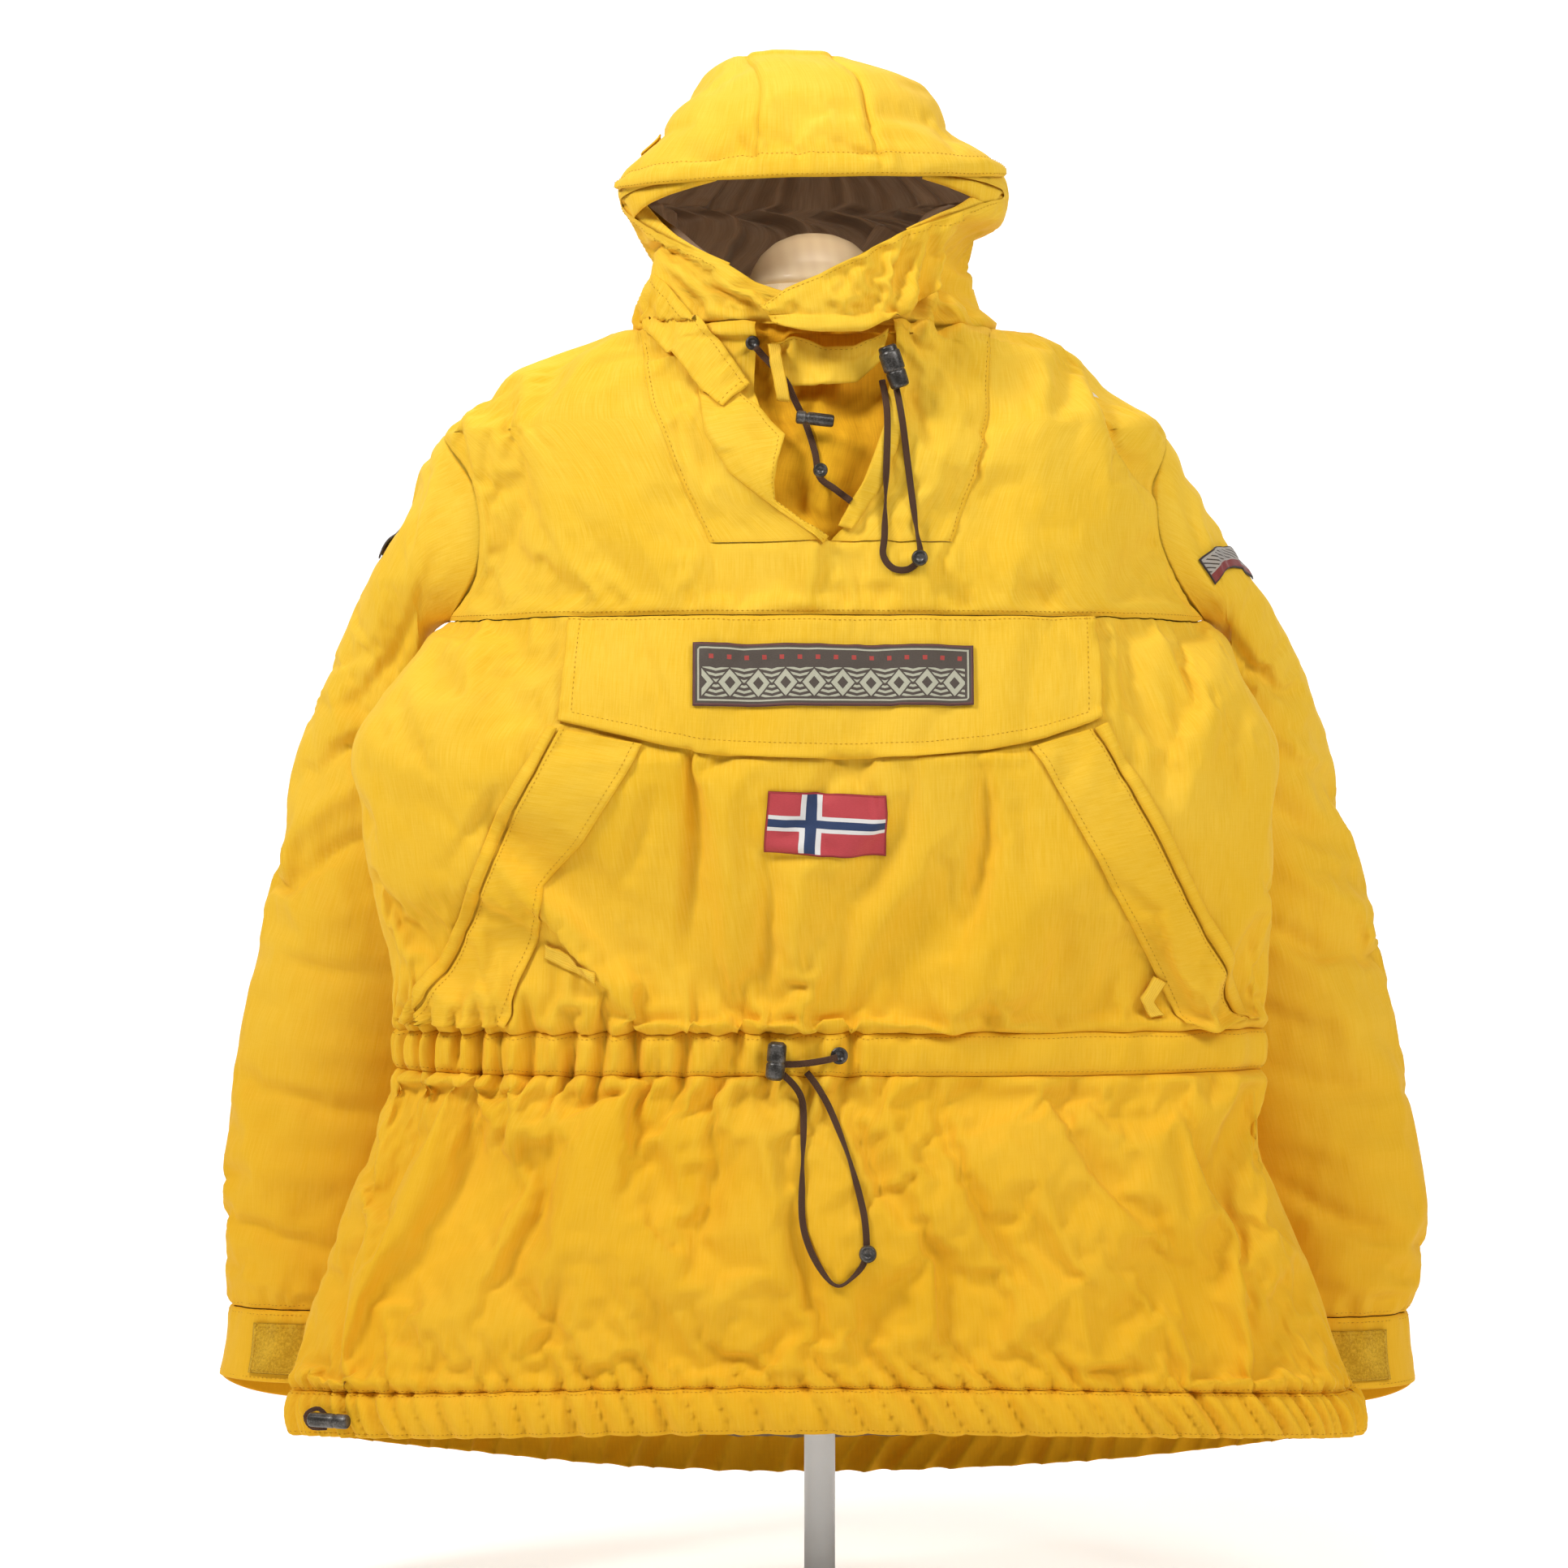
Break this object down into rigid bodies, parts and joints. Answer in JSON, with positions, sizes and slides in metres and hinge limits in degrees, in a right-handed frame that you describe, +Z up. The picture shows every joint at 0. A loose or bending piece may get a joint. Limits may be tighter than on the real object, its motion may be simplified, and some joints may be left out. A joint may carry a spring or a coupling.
{
  "type": "pullover parka on a dress form",
  "caption": "Hooded pullover parka with a gathered waist and hem, large front pocket flap and drawcords, filled out on a limbless dress form with a flat base.",
  "frame": {"origin": "centre of the form base's underside, below the middle of the whole part", "axes": "+Z up along the column, -Y the parka's front, +X the side on the viewer's right"},
  "size_m": [0.8777, 0.2952, 1.1228],
  "materials": {
    "cloth_yellow": "matt woven cloth",
    "cloth_turned": "matt woven cloth, inner face",
    "lining_brown": "soft sheen lining",
    "webbing_yellow": "woven tape",
    "pile_yellow": "looped pile of a hook-and-loop fastener",
    "patch_maroon": "embroidered",
    "badge_brown": "embroidered",
    "flag_red": "embroidered",
    "cord_brown": "braided cord",
    "dark_metal": "satin",
    "form_linen": "smooth covered",
    "pale_wood": "satin",
    "white_steel": "satin paint"
  },
  "bodies": {
    "root": {"front_yoke": "cloth_yellow", "back_yoke": "cloth_yellow", "front_body": "cloth_yellow", "back_body": "cloth_yellow", "waist_casing_front": "cloth_yellow", "waist_casing_back": "cloth_yellow", "skirt_front": "cloth_yellow", "skirt_back": "cloth_yellow", "hem_casing_front": "cloth_yellow", "hem_casing_back": "cloth_yellow", "bib_left": "cloth_yellow", "bib_right": "cloth_yellow", "placket_left": "cloth_yellow", "placket_right": "cloth_yellow", "hood_left": "cloth_yellow", "hood_right": "cloth_yellow", "hood_middle": "cloth_yellow", "hood_brim": "cloth_yellow", "hood_tab": "cloth_yellow", "throat_flap": "cloth_yellow", "collar_strip": "cloth_yellow", "collar_band_left": "cloth_yellow", "sleeve_left": "cloth_yellow", "sleeve_right": "cloth_yellow", "cuff_left": "cloth_yellow", "cuff_right": "cloth_yellow", "pocket_flap": "cloth_yellow", "pocket_welt_left": "cloth_yellow", "pocket_welt_right": "cloth_yellow", "throat_gusset": "cloth_turned", "hood_lining": "lining_brown", "neck_loop": "webbing_yellow", "pocket_piping_left": "webbing_yellow", "pocket_piping_right": "webbing_yellow", "zip_loop_left": "webbing_yellow", "zip_loop_right": "webbing_yellow", "cuff_pile_left": "pile_yellow", "cuff_pile_right": "pile_yellow", "arm_patch_left": "patch_maroon", "arm_patch_right": "patch_maroon", "chest_badge": "badge_brown", "flag_patch": "flag_red", "hood_cord_left": "cord_brown", "hood_cord_right": "cord_brown", "waist_cord": "cord_brown", "waist_cord_link": "cord_brown", "hem_cord": "cord_brown", "neck_eyelet": "dark_metal", "barrel_toggle": "dark_metal", "hood_bead_left": "dark_metal", "cord_lock": "dark_metal", "hood_bead_right": "dark_metal", "waist_eyelet": "dark_metal", "waist_toggle": "dark_metal", "waist_bead": "dark_metal", "hem_lock": "dark_metal", "form_torso": "form_linen", "neck_cap": "pale_wood", "form_column": "white_steel", "form_base": "white_steel"}
  },
  "joints": []
}
